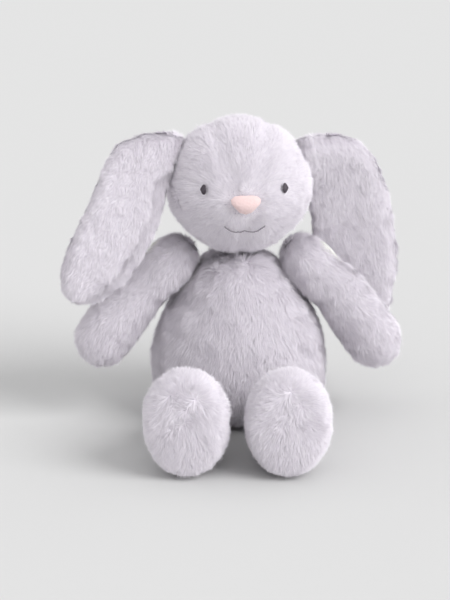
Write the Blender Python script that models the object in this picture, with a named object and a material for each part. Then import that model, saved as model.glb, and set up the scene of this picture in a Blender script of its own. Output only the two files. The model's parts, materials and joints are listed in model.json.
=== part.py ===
"""A sitting lop-eared plush bunny, built as it is sewn: fabric panels, filling, pellets and stitches.

Left and right are the bunny's own: it faces -Y, and its left side is at +X. It sits on the floor, z = 0.
Every limb has an empty on its joint's axis, which carries that limb's pieces.
"""

from math import cos, pi, radians, sin, sqrt

import bmesh
import bpy
from mathutils import Matrix, Vector

MM = 0.001

# Fabric and seams
PILE_FABRIC = 5.0 * MM  # backing and pile of the body fabric
EAR_FABRIC = 3.0 * MM  # the shorter-piled fabric of the ears
POUCH_CLOTH = 1.2 * MM
SEAM_GAP = 0.5 * MM  # between two panels sewn together
FILLING_GAP = 1.0 * MM  # between a panel and the filling, the seam allowance taking the rest
SEAT_GAP = 0.8 * MM  # between a limb and what it is sewn to

# Torso: height, half-width, half-depth and how far back its centre lies
TORSO_HEIGHT = 110.5 * MM
TORSO_HALF_WIDTH = 58.5 * MM
TORSO_HALF_DEPTH = 50.0 * MM
TORSO_SECTIONS = (  # share of height, of half-width and of half-depth
    (0.0, 0.0, 0.0),
    (0.0, 0.42, 0.42),
    (0.0, 0.73, 0.72),
    (0.035, 0.87, 0.87),
    (0.12, 0.97, 0.97),
    (0.26, 1.0, 1.0),
    (0.44, 0.985, 0.99),
    (0.62, 0.86, 0.92),
    (0.77, 0.69, 0.81),
    (0.885, 0.52, 0.68),
    (0.96, 0.39, 0.53),
    (0.995, 0.22, 0.3),
    (1.0, 0.0, 0.0),
)
BASE_EDGE = 2.0 / 12  # the station where the base panel meets the side panels

# Head
HEAD_HALF_WIDTH = 45.5 * MM
HEAD_HALF_DEPTH = 41.0 * MM
HEAD_HALF_HEIGHT = 43.5 * MM
HEAD_FORWARD = 3.0 * MM  # the head's centre ahead of the torso's
HEAD_TURN = 5.0  # degrees towards its left
CHEEK_SWELL = 0.05  # extra width below the eyes
MUZZLE_SWELL = 4.0 * MM
GUSSET_HALF_WIDTH = 19.0 * MM  # at the crown
GUSSET_START, GUSSET_END = -14.0, 238.0  # degrees round the head from the face, over the crown
NECK_PIVOT_RISE = 20.0 * MM  # the nodding axis above the torso's top
NECK_GAP = 0.1 * MM  # between the tops of the two forms; the panels' open ends widen it

# Face
EYE_HALF_WIDTH, EYE_HALF_HEIGHT = 2.1 * MM, 3.3 * MM
EYE_SIDE, EYE_UP = 34.0, 6.0  # degrees from the front
NOSE_HALF_WIDTH, NOSE_HALF_HEIGHT = 8.6 * MM, 5.6 * MM
NOSE_UP = -5.0
NOSE_POINT = 0.16  # how far its three corners stand out, as a share
MOUTH_UP, MOUTH_HALF_WIDTH, MOUTH_RISE = -30.0, 12.0 * MM, 2.2 * MM
FACE_THICKNESS = 1.3 * MM
NOSE_THICKNESS = 2.2 * MM
THREAD_RADIUS = 0.5 * MM

# Ears
EAR_ROOT_RADIUS = 11.0 * MM  # of the gathered root, which turns about the hinge
RIGHT_EAR_SEAT, LEFT_EAR_SEAT = 31.0, 27.0  # degrees above the side of the head
EAR_FOLD_RADIUS = 3.7 * MM  # of the lengthwise pleat, at the middle of the two layers
RIGHT_EAR_HALF_WIDTH, LEFT_EAR_HALF_WIDTH = 22.5 * MM, 26.5 * MM
# Points of each ear's middle line from its hinge, in mm
RIGHT_EAR_LINE = ((-10, -8, -7), (-18, -18, -25), (-28, -28, -50), (-43, -35, -73), (-60, -38, -92))
LEFT_EAR_LINE = ((9, 10, -9), (17, 20, -27), (24, 26, -52), (28, 28, -80), (29, 28, -110), (31, 28, -143))
RIGHT_EAR_FLAPS = (0.8, 1.0)  # front and rear flap widths, as shares of the full width
LEFT_EAR_FLAPS = (1.0, 0.8)
PLEAT_SHARE = 0.16  # of each flap's rows that go round the pleat
EAR_WIDTHS = (0.1, 0.3, 0.48, 0.69, 0.86, 0.96, 1.0, 1.0, 0.97, 0.8, 0.28)  # evenly from root to tip

# Arms
ARM_ROOT_RADIUS = 18.0 * MM
ARM_PAW_RADIUS = 20.5 * MM
ARM_LENGTH = 64.0 * MM  # from the shoulder pivot to the middle of the paw
RIGHT_ARM_DROOP, LEFT_ARM_DROOP = 52.5, 54.0  # degrees below level
RIGHT_ARM_REACH, LEFT_ARM_REACH = 10.0 * MM, 6.0 * MM  # how far each paw hangs ahead of the shoulder
ARM_HEIGHT_SHARE, ARM_FORWARD = 0.84, 4.0  # where it is sewn to the torso, degrees towards the front
ARM_FLATNESS = 0.9
POLE_SEAMS = (0.06, 0.94)  # the stations between which a limb's panels run, clear of its two poles

# Legs
LEG_ROOT_RADIUS = 20.0 * MM
LEG_LENGTH = 72.0 * MM  # from the hip pivot to the sole
FOOT_HALF_WIDTH = 27.0 * MM
FOOT_HALF_HEIGHT = 34.0 * MM
HIP_SPREAD = 28.5 * MM
RIGHT_LEG_SPLAY, LEFT_LEG_SPLAY = 4.0, 0.5  # degrees outwards
SOLE_EDGE = 0.72  # the station where the sole panel is sewn in

# Tail
TAIL_RADIUS = 15.0 * MM
TAIL_FABRIC = 4.0 * MM
TAIL_HEIGHT_SHARE = 0.27
TAIL_OPENING = 0.17

# Pellet pouch
POUCH_HALF_WIDTH, POUCH_HALF_DEPTH, POUCH_HALF_HEIGHT = 45.0 * MM, 36.0 * MM, 13.5 * MM

COLOURS = {  # linear red, green and blue, with roughness
    "lilac_grey_pile": ((0.66, 0.62, 0.66), 0.95),
    "ear_pile": ((0.64, 0.6, 0.64), 0.95),
    "polyester_filling": ((0.85, 0.85, 0.83), 1.0),
    "pouch_cotton": ((0.75, 0.72, 0.64), 0.9),
    "plastic_pellets": ((0.8, 0.8, 0.78), 0.4),
    "charcoal_thread": ((0.06, 0.05, 0.06), 0.5),
    "pink_velour": ((0.83, 0.66, 0.65), 0.9),
    "grey_thread": ((0.27, 0.24, 0.27), 0.6),
}


def clear_scene():
    for obj in list(bpy.data.objects):
        bpy.data.objects.remove(obj)


def material(name):
    """The named material, a Principled BSDF with its colour and roughness."""
    found = bpy.data.materials.get(name)
    if found:
        return found
    made = bpy.data.materials.new(name)
    made.use_nodes = True
    shader = made.node_tree.nodes["Principled BSDF"]
    colour, roughness = COLOURS[name]
    shader.inputs["Base Color"].default_value = (*colour, 1)
    shader.inputs["Roughness"].default_value = roughness
    shader.inputs["Metallic"].default_value = 0
    return made


def smooth_through(stations, share):
    """The Catmull-Rom curve through evenly numbered stations, at share of its length from 0 to 1."""
    last = len(stations) - 1
    place = min(max(share, 0.0), 1.0) * last
    index = min(int(place), last - 1)
    t = place - index
    before, start = stations[max(index - 1, 0)], stations[index]
    end, after = stations[index + 1], stations[min(index + 2, last)]
    return [
        0.5 * (2 * b + (c - a) * t + (2 * a - 5 * b + 4 * c - d) * t * t + (3 * b - a - 3 * c + d) * t**3)
        for a, b, c, d in zip(before, start, end, after)
    ]


class Form:
    """A smooth closed surface: place(u, v) goes round with u in radians, and from pole to pole with v."""

    def __init__(self, place, centre):
        self.place = place
        self.centre = centre

    def normal(self, u, v):
        step = 1e-4
        inside = min(max(v, 0.004), 0.996)
        round_it = self.place(u + step, inside) - self.place(u - step, inside)
        along = self.place(u, inside + step) - self.place(u, inside - step)
        found = round_it.cross(along).normalized()
        outwards = self.place(u, inside) - self.centre(inside)
        return found if found.dot(outwards) > 0 else -found

    def pole_normal(self, v):
        """The mean normal round a pole, where each side's own would differ a little."""
        total = sum((self.normal(k * pi / 4, v) for k in range(8)), Vector())
        return total.normalized()

    def point(self, u, v, inset=0.0):
        at_pole = v <= 1e-6 or v >= 1 - 1e-6
        normal = self.pole_normal(v) if at_pole else self.normal(u, v)
        return self.place(u, v) - normal * inset


def mesh_object(name, shape, colour, pivot):
    """Turns a bmesh in its pivot's parent space into the named object, carried by the pivot empty."""
    bmesh.ops.remove_doubles(shape, verts=shape.verts, dist=1e-6)
    bmesh.ops.dissolve_degenerate(shape, edges=shape.edges, dist=1e-7)
    bmesh.ops.recalc_face_normals(shape, faces=shape.faces)
    if shape.calc_volume(signed=True) < 0:
        bmesh.ops.reverse_faces(shape, faces=shape.faces)
    mesh = bpy.data.meshes.new(name)
    shape.to_mesh(mesh)
    shape.free()
    mesh.transform(Matrix.Translation(-pivot["anchor_point"]))
    mesh.shade_smooth()
    mesh.set_sharp_from_angle(angle=radians(40))
    mesh.materials.append(material(colour))
    obj = bpy.data.objects.new(name, mesh)
    bpy.context.collection.objects.link(obj)
    obj.parent = pivot["empty"]
    return obj


def make_pivot(name, point, parent=None, turn=0.0):
    """An empty at a joint. Its anchor point is in the space where that limb's meshes are worked out."""
    empty = bpy.data.objects.new(name, None)
    empty.empty_display_size = 0.02
    bpy.context.collection.objects.link(empty)
    if parent:
        empty.parent = parent["empty"]
        empty.location = point - parent["anchor_point"]
    else:
        empty.location = point
    empty.rotation_euler.z = radians(turn)
    return {"empty": empty, "anchor_point": point}


def grid_faces(shape, grid):
    for row, following in zip(grid, grid[1:]):
        for a, b, c, d in zip(row, row[1:], following[1:], following):
            shape.faces.new((a, b, c, d))


def spread(first, last, steps):
    """Evenly spaced values, both ends included."""
    return [first + (last - first) * i / steps for i in range(steps + 1)]


def panel(name, form, angles, v_range, rows, colour, pivot, near=0.0, far=PILE_FABRIC):
    """A thick panel, from inset near to inset far. Each end of v_range is a number or a function of u."""
    low, high = (limit if callable(limit) else (lambda u, kept=limit: kept) for limit in v_range)
    closed_round = abs(angles[-1] - angles[0]) > 2 * pi - 1e-6
    shape = bmesh.new()
    grids = []
    for inset in (near, far):
        grid = []
        for u in angles:
            row = [shape.verts.new(form.point(u, v, inset)) for v in spread(low(u), high(u), rows)]
            grid.append(row)
        grids.append(grid)
        grid_faces(shape, grid)
    outer, inner = grids
    start, end = low(angles[0]), high(angles[0])
    rims = []
    if start > 1e-6:
        rims.append(([row[0] for row in outer], [row[0] for row in inner]))
    if end < 1 - 1e-6:
        rims.append(([row[-1] for row in outer], [row[-1] for row in inner]))
    if not closed_round:
        rims += [(outer[0], inner[0]), (outer[-1], inner[-1])]
    for rim in rims:
        grid_faces(shape, rim)
    return mesh_object(name, shape, colour, pivot)


def filling(name, form, inset, steps, colour, pivot, v_range=(0.0, 1.0)):
    """A solid that fills the form, an inset inside it. An end that isn't a pole is closed flat."""
    shape = bmesh.new()
    rings = []
    for j in range(steps[1] + 1):
        v = v_range[0] + (v_range[1] - v_range[0]) * j / steps[1]
        round_it = [2 * pi * i / steps[0] for i in range(steps[0])]
        ring = [shape.verts.new(form.point(u, v, inset)) for u in round_it]
        rings.append(ring)
    for ring in rings:
        ring.append(ring[0])
    grid_faces(shape, rings)
    for ring, v in ((rings[0], v_range[0]), (rings[-1], v_range[1])):
        if 1e-6 < v < 1 - 1e-6:
            shape.faces.new(ring[:-1])
    return mesh_object(name, shape, colour, pivot)


def applique(name, form, middle, outline, thickness, colour, pivot, rings=3, spokes=16):
    """A domed patch stitched on. outline(angle) gives its reach in radians round and share across."""
    shape = bmesh.new()
    layers = []
    for side in (0, 1):
        layer = []
        for ring in range(rings + 1):
            reach = ring / rings
            row = []
            for spoke in range(spokes):
                angle = 2 * pi * spoke / spokes
                du, dv = outline(angle)
                dome = thickness * (0.35 + 0.65 * sqrt(1 - reach**2)) * side
                point = form.point(middle[0] + du * reach, middle[1] + dv * reach, -SEAM_GAP - dome)
                row.append(shape.verts.new(point))
            row.append(row[0])
            layer.append(row)
        layers.append(layer)
        grid_faces(shape, layer)
    grid_faces(shape, (layers[0][-1], layers[1][-1]))
    bmesh.ops.remove_doubles(shape, verts=shape.verts, dist=1e-6)
    return mesh_object(name, shape, colour, pivot)


# ---- Torso ----

def torso_form():
    def place(u, v):
        height, wide, deep = smooth_through(TORSO_SECTIONS, v)
        return Vector((
            max(wide, 0) * TORSO_HALF_WIDTH * cos(u),
            max(deep, 0) * TORSO_HALF_DEPTH * sin(u),
            max(height, 0) * TORSO_HEIGHT,
        ))

    middle = Vector((0, 0, TORSO_HEIGHT * 0.45))
    return Form(place, lambda v: middle)


def torso_station(height_share):
    """The station of the torso's side at a share of its height."""
    low, high = BASE_EDGE, 1.0
    for _ in range(40):
        middle = (low + high) / 2
        if smooth_through(TORSO_SECTIONS, middle)[0] < height_share:
            low = middle
        else:
            high = middle
    return low


def make_torso(form, pivot):
    side = TORSO_HALF_WIDTH
    edge = SEAM_GAP / 2 / side * 1.6  # half a seam, in radians, allowing for the narrower top
    along = SEAM_GAP / side / 2.2
    sides = (BASE_EDGE + along, 1 - 0.035)
    front = spread(-pi + edge, -edge, 12)
    back_left, back_right = spread(edge, pi / 2 - edge, 6), spread(pi / 2 + edge, pi - edge, 6)
    panel("torso_front_panel", form, front, sides, 11, "lilac_grey_pile", pivot)
    panel("torso_back_left_panel", form, back_left, sides, 11, "lilac_grey_pile", pivot)
    panel("torso_back_right_panel", form, back_right, sides, 11, "lilac_grey_pile", pivot)
    base = (0.0, BASE_EDGE - along)
    panel("torso_base_panel", form, spread(0, 2 * pi, 24), base, 3, "lilac_grey_pile", pivot)
    pouch_top = PILE_FABRIC + 2 * POUCH_HALF_HEIGHT + 2 * SEAM_GAP
    lowest = torso_station((pouch_top + SEAM_GAP) / TORSO_HEIGHT)
    inset = PILE_FABRIC + FILLING_GAP
    filling("torso_filling", form, inset, (24, 12), "polyester_filling", pivot, (lowest, 1.0))


def pouch_form():
    centre = Vector((0, 0, PILE_FABRIC + SEAM_GAP + POUCH_HALF_HEIGHT))

    def place(u, v):
        flat = sqrt(max(sin(pi * v), 0))
        return centre + Vector((
            POUCH_HALF_WIDTH * flat * cos(u),
            POUCH_HALF_DEPTH * flat * sin(u),
            -POUCH_HALF_HEIGHT * cos(pi * v),
        ))

    return Form(place, lambda v: centre)


def make_pouch(pivot):
    form = pouch_form()
    edge = 0.012
    whole = spread(0, 2 * pi, 20)
    panel("pouch_lower_cover", form, whole, (0.0, 0.5 - edge), 5, "pouch_cotton", pivot, 0, POUCH_CLOTH)
    panel("pouch_upper_cover", form, whole, (0.5 + edge, 1.0), 5, "pouch_cotton", pivot, 0, POUCH_CLOTH)
    filling("pouch_pellets", form, POUCH_CLOTH + SEAM_GAP, (20, 10), "plastic_pellets", pivot)


def make_tail(torso, pivot):
    station = torso_station(TAIL_HEIGHT_SHARE)
    outwards = torso.normal(pi / 2, station)
    centre = torso.point(pi / 2, station) + outwards * TAIL_RADIUS * cos(pi * TAIL_OPENING)
    across = outwards.cross(Vector((1, 0, 0))).normalized()

    def place(u, v):
        ring = Vector((1, 0, 0)) * cos(u) + across * sin(u)
        return centre + (ring * sin(pi * v) - outwards * cos(pi * v)) * TAIL_RADIUS

    form = Form(place, lambda v: centre)
    whole = spread(0, 2 * pi, 14)
    panel("tail_cover", form, whole, (TAIL_OPENING, 1.0), 7, "lilac_grey_pile", pivot, 0, TAIL_FABRIC)
    filling("tail_filling", form, TAIL_FABRIC + SEAM_GAP, (14, 8), "polyester_filling", pivot)


# ---- Head ----

def head_form(centre):
    """Poles at the two ears; u goes round from the face over the crown, v from its right to its left."""

    def place(u, v):
        side = -cos(pi * v)
        ring = sin(pi * v)
        up, front = ring * sin(u), ring * cos(u)
        below = max(0.0, 0.25 - up) * max(0.0, min(1.0, up + 1.05))
        wide = HEAD_HALF_WIDTH * (1 + CHEEK_SWELL * 2 * below)
        muzzle = MUZZLE_SWELL * max(0.0, front) ** 3 * max(0.0, 1 - (up + 0.3) ** 2 * 3)
        return centre + Vector((
            side * wide,
            -front * HEAD_HALF_DEPTH - muzzle,
            up * HEAD_HALF_HEIGHT,
        ))

    return Form(place, lambda v: centre)


def gusset_half_width(u):
    """Half the width of the centre panel at a place round the head, as a share of pole to pole."""
    degrees_round = u * 180 / pi
    share = (degrees_round - GUSSET_START) / (GUSSET_END - GUSSET_START)
    if not 0 < share < 1:
        return 0.0
    crown = GUSSET_HALF_WIDTH / (pi * HEAD_HALF_WIDTH)
    return crown * min(1.0, sqrt(share) * 1.55, sqrt(1 - share) * 2.2)


def make_head(form, pivot):
    edge = SEAM_GAP / 2 / (pi * HEAD_HALF_WIDTH)
    start, end = radians(GUSSET_START), radians(GUSSET_END)
    crown = spread(start, end, 16)
    tip = (crown[1] - crown[0]) / 4
    crown = [start + tip, *crown[1:-1], end - tip]
    gusset = (lambda u: 0.5 - gusset_half_width(u) + edge, lambda u: 0.5 + gusset_half_width(u) - edge)
    panel("head_gusset_panel", form, crown, gusset, 4, "lilac_grey_pile", pivot)
    whole = [start, *crown, *spread(end, start + 2 * pi, 7)]
    right = (0.0, lambda u: 0.5 - gusset_half_width(u) - edge)
    left = (lambda u: 0.5 + gusset_half_width(u) + edge, 1.0)
    panel("head_right_panel", form, whole, right, 7, "lilac_grey_pile", pivot)
    panel("head_left_panel", form, whole, left, 7, "lilac_grey_pile", pivot)
    filling("head_filling", form, PILE_FABRIC + FILLING_GAP, (24, 16), "polyester_filling", pivot)


def make_face(form, pivot):
    around = pi * HEAD_HALF_WIDTH
    for name, side in (("eye_right_stitching", -1), ("eye_left_stitching", 1)):
        middle = (radians(EYE_UP), 0.5 + side * EYE_SIDE / 180)
        ring = HEAD_HALF_DEPTH * cos(radians(EYE_SIDE))

        def oval(angle, ring=ring):
            return EYE_HALF_HEIGHT / ring * sin(angle), EYE_HALF_WIDTH / around * cos(angle)

        applique(name, form, middle, oval, FACE_THICKNESS, "charcoal_thread", pivot, rings=2, spokes=12)

    def rounded_triangle(angle):
        point = 1 + NOSE_POINT * sin(3 * angle)
        up = NOSE_HALF_HEIGHT / HEAD_HALF_DEPTH * sin(angle)
        return up * point, NOSE_HALF_WIDTH / around * cos(angle) * point

    middle = (radians(NOSE_UP), 0.5)
    applique("nose_patch", form, middle, rounded_triangle, NOSE_THICKNESS, "pink_velour", pivot)


def make_mouth(form, pivot):
    """Two shallow scallops of thick thread, meeting under the nose."""
    curve = bpy.data.curves.new("mouth_stitching", "CURVE")
    curve.dimensions = "3D"
    curve.bevel_depth = THREAD_RADIUS
    curve.bevel_resolution = 1
    curve.use_fill_caps = True
    count = 14
    spline = curve.splines.new("POLY")
    spline.points.add(count)
    clear = SEAM_GAP + THREAD_RADIUS
    for i in range(count + 1):
        across = 2 * i / count - 1
        sag = abs(sin(pi * across)) * MOUTH_RISE - across**2 * MOUTH_RISE
        v = 0.5 + across * MOUTH_HALF_WIDTH / (pi * HEAD_HALF_WIDTH)
        u = radians(MOUTH_UP) - sag / HEAD_HALF_DEPTH
        spline.points[i].co = (*(form.point(u, v, -clear) - pivot["anchor_point"]), 1)
    curve.materials.append(material("grey_thread"))
    obj = bpy.data.objects.new("mouth_stitching", curve)
    bpy.context.collection.objects.link(obj)
    obj.parent = pivot["empty"]


# ---- Ears ----

def ear_surface(hinge, line, flaps, side):
    """place(s, t, lift): s runs from root to tip, t from the front flap's edge over the pleat to the rear's.

    The cloth is pleated along its inner edge, so its two flaps lie one behind the other.
    """
    ahead = Vector(line[0]).normalized()
    stations = [tuple(hinge - ahead * EAR_ROOT_RADIUS * 0.8), tuple(hinge)]
    stations += [tuple(hinge + Vector(p) * MM) for p in line]
    back = Vector((0, 1, 0))
    full_half = LEFT_EAR_HALF_WIDTH if side > 0 else RIGHT_EAR_HALF_WIDTH
    widths = [(share,) for share in EAR_WIDTHS]

    def frame(s):
        before, after = (Vector(smooth_through(stations, s + step)) for step in (-0.01, 0.01))
        along = (after - before).normalized()
        outwards = along.cross(back).normalized() * -side
        depth = outwards.cross(along).normalized() * -side
        return Vector(smooth_through(stations, s)), outwards, depth

    def place(s, t, lift):
        middle, outwards, backwards = frame(s)
        half = full_half * smooth_through(widths, s)[0]
        pleat = EAR_FOLD_RADIUS
        if t < -PLEAT_SHARE:
            across = (2 * half * flaps[0] - pleat) * (-t - PLEAT_SHARE) / (1 - PLEAT_SHARE)
            depth, facing = -pleat, (0, -1)
        elif t > PLEAT_SHARE:
            across = (2 * half * flaps[1] - pleat) * (t - PLEAT_SHARE) / (1 - PLEAT_SHARE)
            depth, facing = pleat, (0, 1)
        else:
            angle = t / PLEAT_SHARE * pi / 2
            across, depth, facing = -pleat * cos(angle), pleat * sin(angle), (-cos(angle), sin(angle))
        spread_out = across - half + pleat + facing[0] * lift
        return middle + outwards * spread_out + backwards * (depth + facing[1] * lift)

    return place


def ear_panel(name, place, lifts, pivot, steps=(14, 12)):
    """One layer of an ear, between two heights above the middle of its cloth."""
    shape = bmesh.new()
    grids = []
    for lift in lifts:
        grid = []
        for i in range(steps[0] + 1):
            s = i / steps[0]
            row = []
            for j in range(steps[1] + 1):
                t = 2 * j / steps[1] - 1
                row.append(shape.verts.new(place(s, t, lift)))
            grid.append(row)
        grids.append(grid)
        grid_faces(shape, grid)
    near, far = grids
    rims = [(near[0], far[0]), (near[-1], far[-1])]
    rims += [([row[k] for row in near], [row[k] for row in far]) for k in (0, -1)]
    for rim in rims:
        grid_faces(shape, rim)
    return mesh_object(name, shape, "ear_pile", pivot)


def ear_hinge(head, side):
    seat = LEFT_EAR_SEAT if side > 0 else RIGHT_EAR_SEAT
    v = 0.5 + side * (0.5 - seat / 180)
    return head.point(pi / 2, v) + head.normal(pi / 2, v) * (EAR_ROOT_RADIUS + SEAT_GAP)


def make_ear(name, head, line, flaps, side, head_pivot):
    hinge = ear_hinge(head, side)
    pivot = make_pivot(name + "_hinge", hinge, head_pivot)
    place = ear_surface(hinge, line, flaps, side)
    half_gap = SEAM_GAP / 2
    ear_panel(name + "_outer_panel", place, (half_gap, half_gap + EAR_FABRIC), pivot)
    ear_panel(name + "_inner_panel", place, (-half_gap, -half_gap - EAR_FABRIC), pivot)


# ---- Limbs ----

def limb_form(middle_line, frame_of, sections):
    """A limb whose sections are ovals: sections give the share along, the half-width and the half-depth."""

    def place(u, v):
        along, wide, deep = smooth_through(sections, v)
        middle = middle_line(along)
        across, depth = frame_of(along)
        return middle + across * max(wide, 0) * cos(u) + depth * max(deep, 0) * sin(u)

    return Form(place, lambda v: middle_line(smooth_through(sections, v)[0]))


def arm_form(shoulder, side):
    droop = radians(LEFT_ARM_DROOP if side > 0 else RIGHT_ARM_DROOP)
    reach = LEFT_ARM_REACH if side > 0 else RIGHT_ARM_REACH
    down = Vector((side * cos(droop) * ARM_LENGTH, -reach, -sin(droop) * ARM_LENGTH))
    along = down.normalized()
    depth = Vector((0, 1, 0))
    depth = (depth - along * depth.dot(along)).normalized()
    across = depth.cross(along).normalized()
    root, paw = ARM_ROOT_RADIUS, ARM_PAW_RADIUS
    length = ARM_LENGTH
    radii = [(-root, 0.0), (-root * 0.9, root * 0.45), (-root * 0.55, root * 0.84), (0, root)]
    swell = [(0.35, 0.4), (0.7, 0.85), (1.0, 1.0)]
    radii += [(length * at, root + (paw - root) * grow) for at, grow in swell]
    radii += [(length + paw * 0.55, paw * 0.84), (length + paw * 0.9, paw * 0.45), (length + paw, 0.0)]
    sections = [(at, radius, radius * (ARM_FLATNESS if at > 0 else 1)) for at, radius in radii]
    return limb_form(lambda at: shoulder + along * at, lambda at: (across, depth), sections)


def make_arm(name, torso, side, root_pivot):
    station = torso_station(ARM_HEIGHT_SHARE)
    u = -radians(ARM_FORWARD) if side > 0 else pi + radians(ARM_FORWARD)
    reach = ARM_ROOT_RADIUS + SEAT_GAP
    shoulder = torso.point(u, station) + torso.normal(u, station) * reach
    pivot = make_pivot(name + "_shoulder", shoulder, root_pivot)
    form = arm_form(shoulder, side)
    edge = SEAM_GAP / ARM_ROOT_RADIUS
    front, back = spread(pi + edge, 2 * pi - edge, 8), spread(edge, pi - edge, 8)
    panel(name + "_front_panel", form, front, POLE_SEAMS, 11, "lilac_grey_pile", pivot)
    panel(name + "_back_panel", form, back, POLE_SEAMS, 11, "lilac_grey_pile", pivot)
    filling(name + "_filling", form, PILE_FABRIC + FILLING_GAP, (16, 12), "polyester_filling", pivot)


def leg_form(hip, side):
    splay = radians(LEFT_LEG_SPLAY if side > 0 else RIGHT_LEG_SPLAY)
    along = Vector((side * sin(splay), -cos(splay), 0))
    across = Vector((cos(splay), side * sin(splay), 0))
    up = Vector((0, 0, 1))
    root, length = LEG_ROOT_RADIUS, LEG_LENGTH
    wide, tall = FOOT_HALF_WIDTH, FOOT_HALF_HEIGHT
    ball = [(-1.0, 0.0), (-0.9, 0.45), (-0.55, 0.84), (0.0, 1.0)]
    sections = [(at * root, share * root, share * root) for at, share in ball]
    foot = [(0.3, 0.2), (0.52, 0.62), (0.72, 1.0), (0.86, 0.97)]
    for at, grow in foot:
        sections.append((at * length, root + (wide - root) * grow, root + (tall - root) * grow))
    sections += [(0.95 * length, wide * 0.78, tall * 0.8), (0.99 * length, wide * 0.42, tall * 0.43)]
    sections += [(length, 0.0, 0.0)]
    heights = [(at, root + (tall - root) * grow) for at, grow in [(0.0, 0.0), *foot[:3]]]

    def middle_line(at):
        share = max(0.0, min(at / length, 0.72))
        for (first, low), (second, high) in zip(heights, heights[1:]):
            if share <= second:
                blend = (share - first) / (second - first)
                rise = low + (high - low) * blend
                break
        return hip + along * at + up * (rise - root)

    return limb_form(middle_line, lambda at: (across, up), sections)


def hip_point(torso, side):
    """Where a ball of the leg's root rests against the torso's front, with its underside on the floor."""
    low, high = 0.0, TORSO_HALF_DEPTH * 2
    for _ in range(30):
        ahead = (low + high) / 2
        centre = Vector((side * HIP_SPREAD, -ahead, LEG_ROOT_RADIUS))
        nearest = min(
            (torso.place(-k * pi / 60, j / 60) - centre).length for k in range(61) for j in range(8, 61)
        )
        if nearest < LEG_ROOT_RADIUS:
            low = ahead
        else:
            high = ahead
    return Vector((side * HIP_SPREAD, -high, LEG_ROOT_RADIUS))


def make_leg(name, torso, side, root_pivot):
    hip = hip_point(torso, side)
    pivot = make_pivot(name + "_hip", hip, root_pivot)
    form = leg_form(hip, side)
    edge = SEAM_GAP / LEG_ROOT_RADIUS
    seam = SEAM_GAP / 2 / LEG_LENGTH
    sole = SOLE_EDGE
    above, below = spread(edge, pi - edge, 9), spread(pi + edge, 2 * pi - edge, 9)
    sides = (POLE_SEAMS[0], sole - seam)
    panel(name + "_top_panel", form, above, sides, 10, "lilac_grey_pile", pivot)
    panel(name + "_under_panel", form, below, sides, 10, "lilac_grey_pile", pivot)
    whole = spread(0, 2 * pi, 18)
    panel(name + "_sole_panel", form, whole, (sole + seam, 1.0), 5, "lilac_grey_pile", pivot)
    filling(name + "_filling", form, PILE_FABRIC + FILLING_GAP, (18, 16), "polyester_filling", pivot)


# ---- Assembly ----

def centre_on_floor(root):
    """Moves the whole bunny so that the middle of its outline is over the origin."""
    bpy.context.view_layer.update()
    graph = bpy.context.evaluated_depsgraph_get()
    corners = []
    for obj in bpy.context.collection.objects:
        if obj.type != "EMPTY":
            whole = obj.evaluated_get(graph)
            outline = whole.to_mesh()
            corners += [whole.matrix_world @ vert.co for vert in outline.vertices]
            whole.to_mesh_clear()
    for axis in (0, 1):
        middle = (min(c[axis] for c in corners) + max(c[axis] for c in corners)) / 2
        root["empty"].location[axis] -= middle


def main():
    clear_scene()
    root = make_pivot("bunny", Vector((0, 0, 0)))
    torso = torso_form()
    make_torso(torso, root)
    make_pouch(root)
    make_tail(torso, root)
    head_centre = Vector((0, -HEAD_FORWARD, TORSO_HEIGHT + NECK_GAP + HEAD_HALF_HEIGHT))
    neck = Vector((0, -HEAD_FORWARD, TORSO_HEIGHT + NECK_PIVOT_RISE))
    head_pivot = make_pivot("neck", neck, root, HEAD_TURN)
    head = head_form(head_centre)
    make_head(head, head_pivot)
    make_face(head, head_pivot)
    make_mouth(head, head_pivot)
    make_ear("ear_right", head, RIGHT_EAR_LINE, RIGHT_EAR_FLAPS, -1, head_pivot)
    make_ear("ear_left", head, LEFT_EAR_LINE, LEFT_EAR_FLAPS, 1, head_pivot)
    for side, word in ((-1, "right"), (1, "left")):
        make_arm("arm_" + word, torso, side, root)
        make_leg("leg_" + word, torso, side, root)
    centre_on_floor(root)


main()
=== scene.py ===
"""Looks for a sitting lop-eared plush bunny: stuffed covers with long combed pile, stitched eyes and a velour nose."""

import json
from math import cos, pi, radians, sin, tan

import bmesh
import bpy
import numpy as np
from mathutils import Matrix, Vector, noise
from mathutils.bvhtree import BVHTree

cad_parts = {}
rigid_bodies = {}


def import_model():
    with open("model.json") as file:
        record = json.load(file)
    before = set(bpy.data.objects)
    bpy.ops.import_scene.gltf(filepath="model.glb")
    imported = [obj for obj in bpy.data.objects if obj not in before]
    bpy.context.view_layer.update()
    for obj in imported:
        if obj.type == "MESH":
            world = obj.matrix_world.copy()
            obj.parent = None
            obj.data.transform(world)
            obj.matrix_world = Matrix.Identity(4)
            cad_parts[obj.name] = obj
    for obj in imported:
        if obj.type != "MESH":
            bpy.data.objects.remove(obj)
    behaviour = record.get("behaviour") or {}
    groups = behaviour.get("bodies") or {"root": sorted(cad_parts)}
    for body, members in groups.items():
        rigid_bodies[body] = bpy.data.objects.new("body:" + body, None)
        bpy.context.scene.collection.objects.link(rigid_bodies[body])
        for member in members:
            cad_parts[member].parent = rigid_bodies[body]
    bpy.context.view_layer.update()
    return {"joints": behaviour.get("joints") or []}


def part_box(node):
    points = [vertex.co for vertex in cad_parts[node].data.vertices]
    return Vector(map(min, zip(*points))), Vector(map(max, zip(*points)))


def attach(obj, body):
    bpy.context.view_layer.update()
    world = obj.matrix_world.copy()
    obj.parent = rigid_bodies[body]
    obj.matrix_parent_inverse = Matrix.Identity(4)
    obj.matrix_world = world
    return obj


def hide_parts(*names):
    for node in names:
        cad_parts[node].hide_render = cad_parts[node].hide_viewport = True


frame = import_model()
CAD_NODES = sorted(o.name for o in bpy.data.objects if o.type == "MESH")

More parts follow.
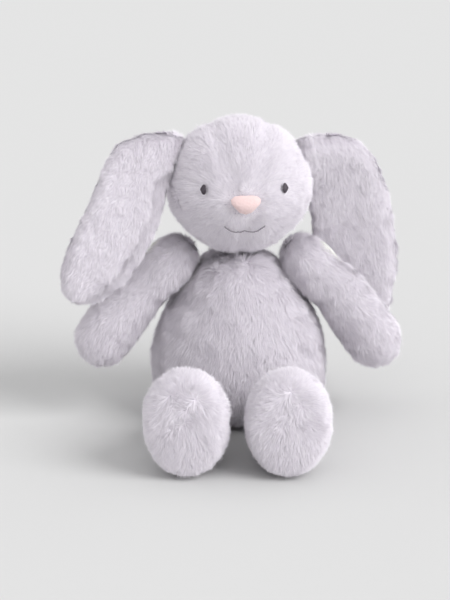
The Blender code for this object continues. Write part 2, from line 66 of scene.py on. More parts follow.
bl_info = {
    "name": "Plush Bunny",
    "version": (1, 0, 0),
    "blender": (4, 5, 0),
    "location": "3D View > Sidebar > Bunny",
    "description": "Makes a stuffed bunny with pile fabric, stitched features and its studio stage",
    "category": "Object",
}

MM = 0.001
SWELL = 0.7 * MM  # closes the seam gaps of the solids before they are made one skin
FLOOR_REST = 14 * MM  # height under which a cover settles flat on the floor
FACE_SINK = 1.6 * MM  # how far the face's features sit into the pile
MOST_TUFTS = 180000  # in one mesh of pile
NECK_DRAW = 2 * MM  # how far the neck's seam draws the head down
ROOT_DRAW = 8 * MM  # how far a seam draws in the root of an arm or an ear
ROOT_REACH = 32 * MM  # how far from its joint a root is drawn in

# Each cover: the body it rides on, the start of its panels' names, and its seam-free filling
COVERS = {
    "torso": ("torso", ("torso_front", "torso_back", "torso_base"), "torso_filling"),
    "tail": ("torso", ("tail_cover",), "tail_filling"),
    "head": ("head", ("head_gusset", "head_left", "head_right"), "head_filling"),
    "ear_right": ("ear_right", ("ear_right_outer", "ear_right_inner"), None),
    "ear_left": ("ear_left", ("ear_left_outer", "ear_left_inner"), None),
    "arm_right": ("arm_right", ("arm_right_front", "arm_right_back"), "arm_right_filling"),
    "arm_left": ("arm_left", ("arm_left_front", "arm_left_back"), "arm_left_filling"),
    "leg_right": ("leg_right", ("leg_right_top", "leg_right_under", "leg_right_sole"), "leg_right_filling"),
    "leg_left": ("leg_left", ("leg_left_top", "leg_left_under", "leg_left_sole"), "leg_left_filling"),
}


# ---- Settings ----

class CoverSettings(bpy.types.PropertyGroup):
    """How the stuffed covers are sewn and filled."""

    inset: bpy.props.FloatProperty(
        name="Pile Depth", description="Depth of the combed pile over the backing cloth",
        default=1.8 * MM, subtype="DISTANCE", unit="LENGTH")
    ear_inset: bpy.props.FloatProperty(
        name="Ear Pile Depth", description="Depth of the combed pile on the ears",
        default=0.5 * MM, subtype="DISTANCE", unit="LENGTH")
    voxel: bpy.props.FloatProperty(
        name="Cloth Mesh", description="Size of the cloth's cells before it is subdivided",
        default=4.5 * MM, subtype="DISTANCE", unit="LENGTH")
    pressure: bpy.props.FloatProperty(
        name="Stuffing Pressure", description="How hard the filling presses on the cloth", default=4.0)
    swell: bpy.props.FloatProperty(
        name="Most Swelling", description="How far the filling may push the cloth out",
        default=5 * MM, subtype="DISTANCE", unit="LENGTH")
    seam_depth: bpy.props.FloatProperty(
        name="Seam Depth", description="How far a seam pulls the cloth in",
        default=0.8 * MM, subtype="DISTANCE", unit="LENGTH")


class PileSettings(bpy.types.PropertyGroup):
    """The combed pile."""

    length: bpy.props.FloatProperty(
        name="Pile Length", description="Length of a fibre", default=6 * MM, subtype="DISTANCE", unit="LENGTH")
    width: bpy.props.FloatProperty(
        name="Tuft Width", description="Width of a tuft of fibres", default=0.4 * MM,
        subtype="DISTANCE", unit="LENGTH")
    density: bpy.props.FloatProperty(
        name="Tufts per mm2", description="Tufts on each square millimetre of cloth", default=8.5)
    stray: bpy.props.FloatProperty(
        name="Stray", description="How far tufts stray from the combed direction", default=0.3)
    lift: bpy.props.FloatProperty(
        name="Lift", description="How far tufts stand up from the cloth", default=0.55)


class ColourSettings(bpy.types.PropertyGroup):
    """The colours, as written on a colour chart."""

    pile: bpy.props.StringProperty(name="Pile", description="Most of the fibres", default="#efeaf1")
    pile_pale: bpy.props.StringProperty(name="Pale Fibres", description="The palest fibres", default="#f5f1f7")
    pile_deep: bpy.props.StringProperty(name="Deep Fibres", description="The darkest fibres", default="#e6e1ea")
    backing: bpy.props.StringProperty(name="Backing", description="Knitted backing cloth", default="#e2dde6")
    nose: bpy.props.StringProperty(name="Nose", description="Velour of the nose", default="#f2d9d8")
    eyes: bpy.props.StringProperty(name="Eyes", description="Embroidery of the eyes", default="#6a626b")
    mouth: bpy.props.StringProperty(name="Mouth", description="Embroidery of the mouth", default="#a8a2aa")
    floor: bpy.props.StringProperty(name="Floor", description="Floor and backdrop", default="#d8d8d8")


class StageSettings(bpy.types.PropertyGroup):
    """Camera and lights."""

    elevation: bpy.props.FloatProperty(
        name="Camera Elevation", description="Height of the view above level", default=radians(16),
        subtype="ANGLE", unit="ROTATION")
    distance: bpy.props.FloatProperty(
        name="Camera Distance", description="From the lens to the toy", default=1.3,
        subtype="DISTANCE", unit="LENGTH")
    view_height: bpy.props.FloatProperty(
        name="View Height", description="Height of what the picture takes in at the toy", default=0.39,
        subtype="DISTANCE", unit="LENGTH")
    key: bpy.props.FloatProperty(name="Key Light", description="Strength of the soft key light", default=2.1)
    fill: bpy.props.FloatProperty(name="Fill Light", description="Strength of the light from all round", default=0.76)


# ---- Materials ----

def linear(code):
    """An sRGB hex colour as linear red, green, blue and alpha."""
    channels = [int(code[i:i + 2], 16) / 255 for i in (1, 3, 5)]
    return [c / 12.92 if c <= 0.04045 else ((c + 0.055) / 1.055) ** 2.4 for c in channels] + [1.0]


def add(tree, kind, inputs=None, **settings):
    """Adds a node, sets its properties, and sets or links its inputs by name or number."""
    node = tree.nodes.new(kind)
    for key, value in settings.items():
        setattr(node, key, value)
    for key, value in (inputs or {}).items():
        if isinstance(value, bpy.types.NodeSocket):
            tree.links.new(value, node.inputs[key])
        else:
            node.inputs[key].default_value = value
    return node


def new_material(name, code, roughness, sheen=0.0):
    """A Principled material with its colour, roughness and sheen set on the shader itself."""
    made = bpy.data.materials.new(name)
    made.use_nodes = True
    shader = made.node_tree.nodes["Principled BSDF"]
    shader.inputs["Base Color"].default_value = linear(code)
    shader.inputs["Roughness"].default_value = roughness
    shader.inputs["Sheen Weight"].default_value = sheen
    shader.inputs["Sheen Roughness"].default_value = 0.5
    shader.inputs["Specular IOR Level"].default_value = 0.25
    return made, made.node_tree, shader


def colour_by(tree, factor, low, high):
    """A colour that runs from low to high with the factor."""
    ramp = add(tree, "ShaderNodeValToRGB", {"Fac": factor})
    ramp.color_ramp.elements[0].color = linear(low)
    ramp.color_ramp.elements[1].color = linear(high)
    return ramp.outputs["Color"]


def bumped(tree, shader, height, distance, strength=1.0):
    bump = add(tree, "ShaderNodeBump", {"Height": height, "Distance": distance, "Strength": strength})
    tree.links.new(bump.outputs["Normal"], shader.inputs["Normal"])


def fibre_material(name, code):
    """Brushed polyester fibre: a soft halo from its sheen, no hard gloss."""
    return new_material(name, code, 0.75, sheen=0.35)[0]


def backing_material(code):
    """Warp-knitted polyester backing: loops 1.2 mm apart, seen only where the pile parts."""
    made, tree, shader = new_material("Knitted Backing", code, 0.95)
    place = add(tree, "ShaderNodeTexCoord").outputs["Object"]
    loops = add(tree, "ShaderNodeTexVoronoi", {"Vector": place, "Scale": 1 / (1.2 * MM)})
    tree.links.new(colour_by(tree, loops.outputs["Distance"], code, "#c9c3cd"), shader.inputs["Base Color"])
    bumped(tree, shader, loops.outputs["Distance"], 0.3 * MM)
    return made


def velour_material(code):
    """Cut velour: a dense nap under 1 mm long, which mottles where it leans."""
    made, tree, shader = new_material("Pale Velour", code, 0.9, sheen=0.5)
    place = add(tree, "ShaderNodeTexCoord").outputs["Object"]
    nap = add(tree, "ShaderNodeTexNoise", {"Vector": place, "Scale": 1 / (1.1 * MM), "Detail": 3.0})
    tree.links.new(colour_by(tree, nap.outputs["Fac"], "#e6cac9", code), shader.inputs["Base Color"])
    bumped(tree, shader, nap.outputs["Fac"], 0.35 * MM)
    return made


def thread_material(name, code, deep):
    """Rayon embroidery thread: twisted plies 0.25 mm apart and a silky highlight along the strand."""
    made, tree, shader = new_material(name, code, 0.42)
    place = add(tree, "ShaderNodeTexCoord").outputs["Object"]
    plies = add(tree, "ShaderNodeTexNoise", {"Vector": place, "Scale": 1 / (0.5 * MM), "Detail": 2.0})
    tree.links.new(colour_by(tree, plies.outputs["Fac"], deep, code), shader.inputs["Base Color"])
    bumped(tree, shader, plies.outputs["Fac"], 0.1 * MM, 0.5)
    return made


def inner_material(name, code, deep, grain, roughness):
    """What is sewn inside: loose fibre, plain-woven cotton or pellets, with a grain of its own size."""
    made, tree, shader = new_material(name, code, roughness)
    place = add(tree, "ShaderNodeTexCoord").outputs["Object"]
    lumps = add(tree, "ShaderNodeTexVoronoi", {"Vector": place, "Scale": 1 / grain})
    tree.links.new(colour_by(tree, lumps.outputs["Distance"], code, deep), shader.inputs["Base Color"])
    bumped(tree, shader, lumps.outputs["Distance"], grain / 3)
    return made


def floor_material(code):
    """Matt painted studio floor: its noise runs between the same colour at both ends, so it stays one even colour."""
    made, tree, shader = new_material("Matt Studio Paint", code, 0.9)
    shader.inputs["Specular IOR Level"].default_value = 0.0
    place = add(tree, "ShaderNodeTexCoord").outputs["Object"]
    mottle = add(tree, "ShaderNodeTexNoise", {"Vector": place, "Scale": 3.0})
    tree.links.new(colour_by(tree, mottle.outputs["Fac"], code, code), shader.inputs["Base Color"])
    return made


def existing(name):
    found = bpy.data.materials.get(name)
    if not found:
        raise RuntimeError(f"the material {name} isn't made yet")
    return found


# ---- Meshes ----

def add_object(name, mesh):
    obj = bpy.data.objects.new(name, mesh)
    bpy.context.scene.collection.objects.link(obj)
    return obj


def nodes_of(prefixes):
    names = [name for name in CAD_NODES if name.startswith(tuple(prefixes))]
    if not names:
        raise RuntimeError(f"the frame has no node called {prefixes}")
    return names


def merged_copy(name, into, grow=0.0):
    """Adds a node's mesh to a bmesh with its doubles merged, grown along its normals."""
    copy = bmesh.new()
    copy.from_mesh(bpy.data.objects[name].data)
    bmesh.ops.remove_doubles(copy, verts=copy.verts, dist=1e-5)
    copy.normal_update()
    for vert in copy.verts:
        vert.co += vert.normal * grow
    mesh = bpy.data.meshes.new("copy")
    copy.to_mesh(mesh)
    copy.free()
    into.from_mesh(mesh)
    bpy.data.meshes.remove(mesh)


def evaluated_mesh(obj):
    graph = bpy.context.evaluated_depsgraph_get()
    return bpy.data.meshes.new_from_object(obj.evaluated_get(graph), preserve_all_data_layers=True, depsgraph=graph)


def bake_modifiers(obj):
    """Replaces an object's mesh with what its modifiers make of it."""
    mesh = evaluated_mesh(obj)
    obj.modifiers.clear()
    obj.data = mesh
    return mesh


def points_of(mesh):
    flat = np.empty(len(mesh.vertices) * 3, np.float32)
    mesh.vertices.foreach_get("co", flat)
    return flat.reshape(-1, 3)


def normals_of(mesh):
    flat = np.empty(len(mesh.vertices) * 3, np.float32)
    mesh.vertex_normals.foreach_get("vector", flat)
    return flat.reshape(-1, 3)


def set_points(mesh, points):
    mesh.vertices.foreach_set("co", np.ascontiguousarray(points, np.float32).ravel())
    mesh.update()


def keep_largest(mesh):
    """Drops all but the biggest connected shell, such as the walls of an inner hollow."""
    shape = bmesh.new()
    shape.from_mesh(mesh)
    left = set(shape.verts)
    best = set()
    while left:
        group, edge = set(), [left.pop()]
        while edge:
            vert = edge.pop()
            group.add(vert)
            for link in vert.link_edges:
                other = link.other_vert(vert)
                if other in left:
                    left.discard(other)
                    edge.append(other)
        if len(group) > len(best):
            best = group
    bmesh.ops.delete(shape, geom=[v for v in shape.verts if v not in best], context="VERTS")
    bmesh.ops.recalc_face_normals(shape, faces=shape.faces)
    shape.to_mesh(mesh)
    shape.free()
    mesh.update()


def smoothstep(low, high, values):
    share = np.clip((values - low) / (high - low), 0, 1)
    return share * share * (3 - 2 * share)


def seam_distances(points, nodes):
    """How far each point is from the nearest seam: its distance to the second nearest panel."""
    trees = []
    for node in nodes:
        shape = bmesh.new()
        merged_copy(node, shape)
        trees.append(BVHTree.FromBMesh(shape))
        shape.free()
    if len(trees) < 2:
        return np.full(len(points), 1.0)
    found = np.array([[tree.find_nearest(Vector(p))[3] for tree in trees] for p in points])
    found.sort(axis=1)
    return found[:, 1] - found[:, 0]


def stuff(obj, settings):
    """Fills a cover as its stuffing would, with pressure from inside, and keeps the result."""
    before = points_of(obj.data).copy()
    cloth = obj.modifiers.new("Stuffing", "CLOTH")
    cloth.settings.use_pressure = True
    cloth.settings.uniform_pressure_force = settings.pressure
    cloth.settings.effector_weights.gravity = 0
    cloth.settings.quality = 4
    cloth.point_cache.frame_start = 1
    cloth.point_cache.frame_end = 20
    for step in range(1, 21):
        bpy.context.scene.frame_set(step)
    after = points_of(bake_modifiers(obj))
    bpy.context.scene.frame_set(1)
    moved = after - before
    reach = np.linalg.norm(moved, axis=1, keepdims=True)
    moved *= np.minimum(1, settings.swell / np.maximum(reach, 1e-9))
    set_points(obj.data, before + moved)


def joint_of(body):
    """Where a body is sewn on: its joint's place."""
    return np.array(next(joint["pos_m"] for joint in frame["joints"] if joint["child"] == body))


def gather(points, name):
    """Draws a cover's root towards what it is sewn to, so that the two meet along the seam."""
    if name == "head":
        low = points[:, 2].min()
        points[:, 2] -= NECK_DRAW * (1 - smoothstep(0, 12 * MM, points[:, 2] - low))
    if name.startswith(("arm", "ear")):
        root = joint_of(name)
        inwards = np.array(middle_of("head_filling" if name.startswith("ear") else "torso_filling")) - root
        if name.startswith("arm"):
            inwards[2] = 0
        inwards /= np.linalg.norm(inwards)
        near = 1 - smoothstep(ROOT_REACH * 0.4, ROOT_REACH, np.linalg.norm(points - root, axis=1))
        points += inwards * (near * ROOT_DRAW)[:, None]
    return points


def settle(points):
    """Brings the lowest part of a cover down flat on the floor."""
    low = points[:, 2].min()
    share = 1 - smoothstep(0, FLOOR_REST, points[:, 2] - low)
    points[:, 2] -= share * (low - 0.4 * MM)
    return points


def make_cover(name):
    """One stuffed skin over a body's panels, seams drawn in."""
    settings = bpy.context.scene.bunny_covers
    body, prefixes, filling = COVERS[name]
    nodes = nodes_of(prefixes)
    is_ear = name.startswith("ear")
    shape = bmesh.new()
    for node in nodes + ([filling] if filling else []):
        merged_copy(node, shape, SWELL)
    mesh = bpy.data.meshes.new(name + "_skin")
    shape.to_mesh(mesh)
    shape.free()
    cover = add_object(name + "_skin", mesh)
    remesh = cover.modifiers.new("One Skin", "REMESH")
    remesh.mode = "VOXEL"
    remesh.voxel_size = 3 * MM if is_ear or name == "tail" else settings.voxel
    bake_modifiers(cover)
    keep_largest(cover.data)
    inset = (settings.ear_inset if is_ear else settings.inset) + SWELL
    points = points_of(cover.data) - normals_of(cover.data) * inset
    set_points(cover.data, points)
    relax = cover.modifiers.new("Relax", "SMOOTH")
    relax.factor = 0.5
    relax.iterations = 9 if is_ear else 3
    bake_modifiers(cover)
    if not is_ear:
        stuff(cover, settings)
    subdivision = cover.modifiers.new("Fine Cloth", "SUBSURF")
    subdivision.levels = subdivision.render_levels = 1
    bake_modifiers(cover)
    points = gather(points_of(cover.data), name)
    near_seam = 1 - smoothstep(0, 5 * MM, seam_distances(points, nodes))
    if not is_ear:
        points = points - normals_of(cover.data) * (near_seam * settings.seam_depth)[:, None]
    if body in ("torso", "leg_right", "leg_left") and name != "tail":
        points = settle(points)
    set_points(cover.data, points)
    cover.data.shade_smooth()
    cover.data.materials.clear()
    cover.data.materials.append(existing("Knitted Backing"))
    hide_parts(*nodes)
    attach(cover, body)
    return cover


# ---- Pile ----

def middle_of(*nodes):
    corners = np.array([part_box(node) for node in nodes]).reshape(-1, 3)
    return Vector((corners.min(axis=0) + corners.max(axis=0)) / 2)


def comb_direction(name, points, normals):
    """The way the pile is combed at each point, before it strays."""
    down = np.array([0, 0, -1.0])
    if name == "head":
        nose = np.array(middle_of("nose_patch"))
        away = points - nose
        away[:, 2] += 4 * MM
        away /= np.maximum(np.linalg.norm(away, axis=1, keepdims=True), 1e-6)
        behind = smoothstep(-8 * MM, 16 * MM, points[:, 1] - middle_of("head_filling").y)[:, None]
        return away * 0.9 * (1 - behind) + down * (0.35 + behind)
    if name.startswith("leg"):
        away = points - np.array(middle_of(name + "_sole_panel"))
        away[:, 1] += 22 * MM
        return away / np.maximum(np.linalg.norm(away, axis=1, keepdims=True), 1e-6) + down * 0.8
    if name.startswith(("arm", "ear")):
        low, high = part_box(nodes_of((name,))[0])
        side = 1 if (low[0] + high[0]) > 0 else -1
        along = np.array([side * (high[0] - low[0]) * 0.8, -(high[1] - low[1]) * 0.5, -(high[2] - low[2])])
        return np.tile(along / np.linalg.norm(along), (len(points), 1))
    if name == "tail":
        return points - np.array(middle_of("tail_cover")) + down * 4 * MM
    return np.tile(down, (len(points), 1))


def features():
    """The face's features that the pile keeps clear of: a middle, and how far round it the pile is short."""
    return [
        (middle_of("eye_right_stitching"), 3.2 * MM, 9 * MM),
        (middle_of("eye_left_stitching"), 3.2 * MM, 9 * MM),
        (middle_of("nose_patch"), 8 * MM, 16 * MM),
    ]


def write_comb(cover, name):
    """Stores on each point of a cover the combed direction and the pile's length as a share."""
    mesh = cover.data
    points, normals = points_of(mesh), normals_of(mesh)
    comb = comb_direction(name, points, normals)
    waves = np.array([noise.noise_vector(Vector(p) / (13 * MM)) for p in points])
    locks = np.array([noise.noise_vector(Vector(p) / (5 * MM)) for p in points])
    comb = comb / np.maximum(np.linalg.norm(comb, axis=1, keepdims=True), 1e-9)
    comb = comb + waves * 0.6 + locks * 0.9
    comb -= normals * (comb * normals).sum(axis=1, keepdims=True)
    comb /= np.maximum(np.linalg.norm(comb, axis=1, keepdims=True), 1e-9)
    share = 1 + 0.3 * locks[:, 0] + 0.12 * waves[:, 1]
    nodes = nodes_of(COVERS[name][1])
    share *= 0.8 + 0.2 * smoothstep(0, 4 * MM, seam_distances(points, nodes))
    if name.startswith("ear"):
        share *= 0.85
    if name == "head":
        for middle, clear, far in features():
            share *= 0.2 + 0.8 * smoothstep(clear, far, np.linalg.norm(points - np.array(middle), axis=1))
        nose = np.array(middle_of("nose_patch"))
        share *= 0.62 + 0.38 * smoothstep(12 * MM, 42 * MM, np.linalg.norm(points - nose, axis=1))
    share *= 0.3 + 0.7 * smoothstep(1 * MM, 9 * MM, points[:, 2])
    for label, kind, values in (("comb", "FLOAT_VECTOR", comb), ("pile", "FLOAT", share)):
        layer = mesh.attributes.new(label, kind, "POINT")
        layer.data.foreach_set("vector" if kind == "FLOAT_VECTOR" else "value", np.float32(values).ravel())


def tuft_object():
    """One tuft: a narrow tapered blade of unit length and width that leans towards the cloth."""
    mesh = bpy.data.meshes.new("tuft")
    mesh.from_pydata([(0, -0.5, 0), (0, 0.5, 0), (-0.22, 0, 1)], [], [(0, 1, 2)])
    return add_object("tuft", mesh)


def pile_tree(tuft, fibres):
    """A node tree that plants tufts on a cover, turned to its combed direction."""
    tree = bpy.data.node_groups.new("Combed Pile", "GeometryNodeTree")
    sockets = tree.interface
    sockets.new_socket("Geometry", in_out="OUTPUT", socket_type="NodeSocketGeometry")
    sockets.new_socket("Geometry", in_out="INPUT", socket_type="NodeSocketGeometry")
    for label, kind in (("Density", "Float"), ("Length", "Float"), ("Width", "Float"),
                        ("Stray", "Float"), ("Lift", "Float"), ("Seed", "Int")):
        sockets.new_socket(label, in_out="INPUT", socket_type="NodeSocket" + kind)
    given = add(tree, "NodeGroupInput").outputs
    planted = add(tree, "GeometryNodeDistributePointsOnFaces",
                  {"Mesh": given["Geometry"], "Density": given["Density"], "Seed": given["Seed"]})
    normal = planted.outputs["Normal"]
    comb = add(tree, "GeometryNodeInputNamedAttribute", {"Name": "comb"}, data_type="FLOAT_VECTOR")
    share = add(tree, "GeometryNodeInputNamedAttribute", {"Name": "pile"}, data_type="FLOAT")
    stray = add(tree, "FunctionNodeRandomValue", {0: (-1, -1, -1), 1: (1, 1, 1)}, data_type="FLOAT_VECTOR")
    strayed = add(tree, "ShaderNodeVectorMath", {0: stray.outputs[0], "Scale": given["Stray"]}, operation="SCALE")
    lifted = add(tree, "ShaderNodeVectorMath", {0: normal, "Scale": given["Lift"]}, operation="SCALE")
    leaning = add(tree, "ShaderNodeVectorMath", {0: comb.outputs[0], 1: strayed.outputs[0]}, operation="ADD")
    pointed = add(tree, "ShaderNodeVectorMath", {0: leaning.outputs[0], 1: lifted.outputs[0]}, operation="ADD")
    turned = add(tree, "FunctionNodeAlignRotationToVector", {"Vector": pointed.outputs[0]}, axis="Z")
    faced = add(tree, "FunctionNodeAlignRotationToVector",
                {"Rotation": turned.outputs[0], "Vector": normal}, axis="X", pivot_axis="Z")
    vary = add(tree, "FunctionNodeRandomValue", {2: 0.7, 3: 1.15, "Seed": 3}, data_type="FLOAT")
    varied = add(tree, "ShaderNodeMath", {0: vary.outputs[1], 1: share.outputs[0]}, operation="MULTIPLY")
    length = add(tree, "ShaderNodeMath", {0: varied.outputs[0], 1: given["Length"]}, operation="MULTIPLY")
    size = add(tree, "ShaderNodeCombineXYZ",
               {"X": length.outputs[0], "Y": given["Width"], "Z": length.outputs[0]})
    tilted = add(tree, "ShaderNodeVectorMath", {0: strayed.outputs[0], 1: normal}, operation="ADD")
    lit = add(tree, "GeometryNodeStoreNamedAttribute",
              {"Geometry": planted.outputs["Points"], "Name": "lit_from", "Value": tilted.outputs[0]},
              data_type="FLOAT_VECTOR", domain="POINT")
    shape = add(tree, "GeometryNodeObjectInfo", {"Object": tuft}, transform_space="ORIGINAL")
    copies = add(tree, "GeometryNodeInstanceOnPoints",
                 {"Points": lit.outputs[0], "Instance": shape.outputs["Geometry"],
                  "Rotation": faced.outputs[0], "Scale": size.outputs[0]})
    pick = add(tree, "FunctionNodeRandomValue", {2: 0.0, 3: 1.0, "Seed": 7}, data_type="FLOAT")
    marked = add(tree, "GeometryNodeStoreNamedAttribute",
                 {"Geometry": copies.outputs[0], "Name": "shade", "Value": pick.outputs[1]},
                 data_type="FLOAT", domain="INSTANCE")
    realized = add(tree, "GeometryNodeRealizeInstances", {"Geometry": marked.outputs[0]}).outputs[0]
    lit_from = add(tree, "GeometryNodeInputNamedAttribute", {"Name": "lit_from"}, data_type="FLOAT_VECTOR")
    last = add(tree, "GeometryNodeSetMeshNormal",
               {"Mesh": realized, "Custom Normal": lit_from.outputs[0]}, mode="FREE").outputs[0]
    shade = add(tree, "GeometryNodeInputNamedAttribute", {"Name": "shade"}, data_type="FLOAT")
    for limit, fibre in fibres:
        chosen = add(tree, "FunctionNodeCompare", {0: shade.outputs[0], 1: limit},
                     data_type="FLOAT", operation="GREATER_EQUAL")
        last = add(tree, "GeometryNodeSetMaterial",
                   {"Geometry": last, "Selection": chosen.outputs[0], "Material": fibre}).outputs[0]
    add(tree, "NodeGroupOutput", {0: last})
    return tree


def grow_pile(cover, name, tree):
    """Plants a cover's pile, in as many layers as keep each mesh small."""
    settings = bpy.context.scene.bunny_pile
    area = sum(face.area for face in cover.data.polygons)
    layers = 1 + int(area * settings.density / MM**2 / MOST_TUFTS)
    identifiers = {s.name: s.identifier for s in tree.interface.items_tree if s.in_out == "INPUT"}
    for layer in range(layers):
        modifier = cover.modifiers.new("Pile", "NODES")
        modifier.node_group = tree
        values = {
            "Density": settings.density / layers / MM**2,
            "Length": settings.length,
            "Width": settings.width,
            "Stray": settings.stray,
            "Lift": settings.lift,
            "Seed": 11 + layer,
        }
        for label, value in values.items():
            modifier[identifiers[label]] = value
        cover.update_tag()
        mesh = evaluated_mesh(cover)
        cover.modifiers.clear()
        points = points_of(mesh)
        points[:, 2] = np.maximum(points[:, 2], 0.15 * MM)
        set_points(mesh, points)
        for attribute in [a.name for a in mesh.attributes if a.name in ("shade", "lit_from", "comb", "pile")]:
            mesh.attributes.remove(mesh.attributes[attribute])
        suffix = f"_{layer + 1}" if layers > 1 else ""
        pile = add_object(f"{name}_pile{suffix}", mesh)
        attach(pile, COVERS[name][0])


# ---- Face ----

def facing(nodes):
    """The middle of a feature on the head, with its outward, sideways and upward directions."""
    middle = middle_of(*nodes)
    outward = (middle - middle_of("head_filling")).normalized()
    sideways = Vector((0, 0, 1)).cross(-outward).normalized()
    return middle, outward, sideways, sideways.cross(outward).normalized() * -1


def strand(shape, start, end, rise, radius, outward, sides=6, steps=6):
    """One stitch: a thread from start to end that rises over the middle, tapered where it enters the cloth."""
    along = (end - start).normalized()
    across = along.cross(outward).normalized()
    rings = []
    for i in range(steps + 1):
        share = i / steps
        middle = start.lerp(end, share) + outward * rise * sin(pi * share)
        thick = radius * (0.55 + 0.45 * sin(pi * share))
        ring = [middle + (across * cos(a) + outward * sin(a)) * thick
                for a in (2 * pi * k / sides for k in range(sides))]
        rings.append([shape.verts.new(p) for p in ring])
    for low, high in zip(rings, rings[1:]):
        for k in range(sides):
            shape.faces.new((low[k], low[(k + 1) % sides], high[(k + 1) % sides], high[k]))
    shape.faces.new(rings[0][::-1])
    shape.faces.new(rings[-1])


def finish_stitches(name, shape, material_name, node):
    bmesh.ops.recalc_face_normals(shape, faces=shape.faces)
    mesh = bpy.data.meshes.new(name)
    shape.to_mesh(mesh)
    shape.free()
    mesh.shade_smooth()
    mesh.materials.append(existing(material_name))
    obj = add_object(name, mesh)
    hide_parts(node)
    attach(obj, "head")


def stitch_eye(name, node):
    """A satin-stitched oval: upright stitches side by side in one row."""
    middle, outward, sideways, up = facing([node])
    half_width, half_height = 2.0 * MM, 3.2 * MM
    shape = bmesh.new()
    count = 11
    for i in range(count):
        across = (2 * (i + 0.5) / count - 1) * half_width
        reach = half_height * max(0.0, 1 - (across / half_width) ** 2) ** 0.5
        foot = middle + sideways * across - outward * FACE_SINK
        strand(shape, foot - up * reach, foot + up * reach, 0.9 * MM, 0.34 * MM, outward)
    finish_stitches(name, shape, "Charcoal Thread", node)


def stitch_mouth():
    """A row of back stitches along two shallow scallops under the nose."""
    node = "mouth_stitching"
    source = bpy.data.objects[node].data
    points = points_of(source)
    head = np.array(middle_of("head_filling"))
    order = np.argsort(points[:, 0])
    bands = np.array_split(points[order], 22)
    outward = Vector(np.mean(points, axis=0) - head).normalized()
    line = [Vector(band.mean(axis=0)) - outward * FACE_SINK / 2 for band in bands]
    shape = bmesh.new()
    for start, end in zip(line, line[1:]):
        strand(shape, start, end, 0.25 * MM, 0.5 * MM, outward, steps=4)
    finish_stitches("mouth_stitches", shape, "Grey Thread", node)


def make_nose():
    """The velour nose: a small padded triangle with rounded corners, raised most across its middle."""
    node = "nose_patch"
    shape = bmesh.new()
    merged_copy(node, shape)
    mesh = bpy.data.meshes.new("nose_pad")
    shape.to_mesh(mesh)
    shape.free()
    nose = add_object("nose_pad", mesh)
    remesh = nose.modifiers.new("One Skin", "REMESH")
    remesh.mode = "VOXEL"
    remesh.voxel_size = 0.5 * MM
    relax = nose.modifiers.new("Relax", "SMOOTH")
    relax.iterations = 6
    bake_modifiers(nose)
    middle, outward, _, up = facing([node])
    points = points_of(nose.data)
    local = points - np.array(middle)
    height = local @ np.array(up)
    points += np.array(outward) * (1.6 * MM * np.exp(-((height / (5 * MM)) ** 2)) - FACE_SINK)[:, None]
    set_points(nose.data, points)
    nose.data.shade_smooth()
    nose.data.materials.clear()
    nose.data.materials.append(existing("Pale Velour"))
    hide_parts(node)
    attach(nose, "head")


# ---- Stage ----

def make_stage():
    settings = bpy.context.scene.bunny_stage
    mesh = bpy.data.meshes.new("floor")
    side = 6.0
    mesh.from_pydata([(-side, -side, 0), (side, -side, 0), (side, side, 0), (-side, side, 0)], [], [(0, 1, 2, 3)])
    mesh.materials.append(existing("Matt Studio Paint"))
    add_object("floor", mesh)

    low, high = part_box("torso_base_panel")
    axis_x, axis_y = (low[0] + high[0]) / 2, (low[1] + high[1]) / 2
    aim = Vector((axis_x - 0.0091, axis_y, 0.0754))
    lean = settings.elevation
    data = bpy.data.cameras.new("camera")
    data.sensor_fit = "VERTICAL"
    data.sensor_height = 24
    data.lens = 12 * settings.distance / (settings.view_height / 2)
    camera = bpy.data.objects.new("camera", data)
    camera.location = aim + Vector((0, -cos(lean), sin(lean))) * settings.distance
    camera.rotation_euler = (pi / 2 - lean, 0, 0)
    bpy.context.scene.collection.objects.link(camera)
    bpy.context.scene.camera = camera

    sun = bpy.data.lights.new("key", "SUN")
    sun.energy = settings.key
    sun.angle = radians(38)
    key = bpy.data.objects.new("key", sun)
    key.rotation_euler = Vector((1.0, -0.62, 0.8)).to_track_quat("Z", "Y").to_euler()
    bpy.context.scene.collection.objects.link(key)

    world = bpy.data.worlds.new("studio")
    world.use_nodes = True
    tree = world.node_tree
    background = tree.nodes["Background"]
    background.inputs["Color"].default_value = (1, 1, 1, 1)
    seen = add(tree, "ShaderNodeLightPath").outputs["Is Camera Ray"]
    strength = add(tree, "ShaderNodeMix", {0: seen, 2: settings.fill, 3: 0.74}, data_type="FLOAT")
    tree.links.new(strength.outputs[0], background.inputs["Strength"])
    bpy.context.scene.world = world
    bpy.context.scene.view_settings.view_transform = "Standard"


# ---- Operators ----

class BUNNY_OT_materials(bpy.types.Operator):
    """Makes the fabrics, threads and inner materials, and dresses the pieces kept from the frame"""

    bl_idname = "bunny.materials"
    bl_label = "Make Materials"

    def execute(self, context):
        colours = context.scene.bunny_colours
        fibre_material("Brushed Fibre", colours.pile)
        fibre_material("Pale Brushed Fibre", colours.pile_pale)
        fibre_material("Deep Brushed Fibre", colours.pile_deep)
        backing_material(colours.backing)
        velour_material(colours.nose)
        thread_material("Charcoal Thread", colours.eyes, "#2f2a30")
        thread_material("Grey Thread", colours.mouth, "#6d666e")
        floor_material(colours.floor)
        fibre = inner_material("Polyester Filling", "#f0f0ec", "#c9c9c4", 6 * MM, 1.0)
        cotton = inner_material("Plain-Woven Cotton", "#e0dac8", "#bfb8a4", 0.8 * MM, 0.9)
        pellets = inner_material("Polyethylene Pellets", "#e6e6e2", "#9d9d98", 4 * MM, 0.4)
        inner = {name: fibre for name in CAD_NODES if name.endswith("_filling")}
        inner.update({"pouch_lower_cover": cotton, "pouch_upper_cover": cotton, "pouch_pellets": pellets})
        for name, made in inner.items():
            bpy.data.objects[name].material_slots[0].material = made
        return {"FINISHED"}


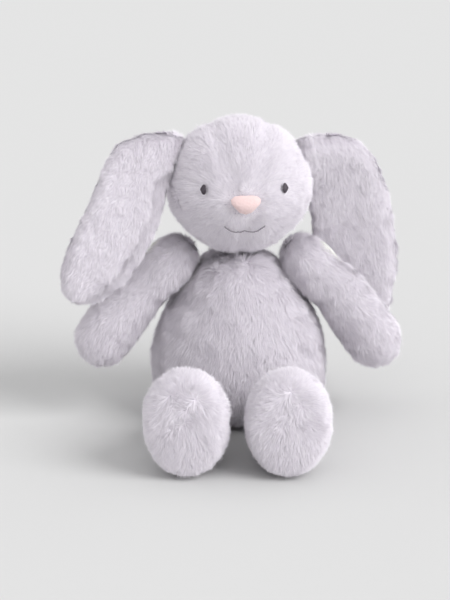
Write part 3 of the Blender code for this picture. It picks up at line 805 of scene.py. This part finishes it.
class BUNNY_OT_covers(bpy.types.Operator):
    """Sews and stuffs each cover, then plants and combs its pile"""

    bl_idname = "bunny.covers"
    bl_label = "Make Covers and Pile"

    def execute(self, context):
        tuft = tuft_object()
        fibres = [(0.0, existing("Brushed Fibre")), (0.55, existing("Pale Brushed Fibre"))]
        fibres.append((0.85, existing("Deep Brushed Fibre")))
        tree = pile_tree(tuft, fibres)
        for name in COVERS:
            cover = make_cover(name)
            write_comb(cover, name)
            grow_pile(cover, name, tree)
            for label in ("comb", "pile"):
                cover.data.attributes.remove(cover.data.attributes[label])
        bpy.data.objects.remove(tuft)
        return {"FINISHED"}


class BUNNY_OT_face(bpy.types.Operator):
    """Stitches the eyes and the mouth, and pads the nose"""

    bl_idname = "bunny.face"
    bl_label = "Make Face"

    def execute(self, context):
        stitch_eye("eye_right_stitches", "eye_right_stitching")
        stitch_eye("eye_left_stitches", "eye_left_stitching")
        stitch_mouth()
        make_nose()
        return {"FINISHED"}


class BUNNY_OT_stage(bpy.types.Operator):
    """Lays the floor, and sets up the camera and the lights"""

    bl_idname = "bunny.stage"
    bl_label = "Make Stage"

    def execute(self, context):
        make_stage()
        return {"FINISHED"}


class BUNNY_PT_panel(bpy.types.Panel):
    """The bunny's settings and steps"""

    bl_idname = "BUNNY_PT_panel"
    bl_label = "Plush Bunny"
    bl_space_type = "VIEW_3D"
    bl_region_type = "UI"
    bl_category = "Bunny"

    def draw(self, context):
        layout = self.layout
        for owner in SETTINGS:
            group = getattr(context.scene, owner)
            for label in group.__annotations__:
                layout.prop(group, label)
        for operator in OPERATORS:
            layout.operator(operator.bl_idname)


SETTINGS = {
    "bunny_covers": CoverSettings,
    "bunny_pile": PileSettings,
    "bunny_colours": ColourSettings,
    "bunny_stage": StageSettings,
}
OPERATORS = (BUNNY_OT_materials, BUNNY_OT_covers, BUNNY_OT_face, BUNNY_OT_stage)


def register():
    for owner, group in SETTINGS.items():
        bpy.utils.register_class(group)
        setattr(bpy.types.Scene, owner, bpy.props.PointerProperty(type=group))
    for operator in OPERATORS:
        bpy.utils.register_class(operator)
    bpy.utils.register_class(BUNNY_PT_panel)


def unregister():
    bpy.utils.unregister_class(BUNNY_PT_panel)
    for operator in reversed(OPERATORS):
        bpy.utils.unregister_class(operator)
    for owner, group in reversed(SETTINGS.items()):
        delattr(bpy.types.Scene, owner)
        bpy.utils.unregister_class(group)


def main():
    register()
    bpy.ops.bunny.materials()
    bpy.ops.bunny.covers()
    bpy.ops.bunny.face()
    bpy.ops.bunny.stage()


if __name__ == "__main__":
    main()
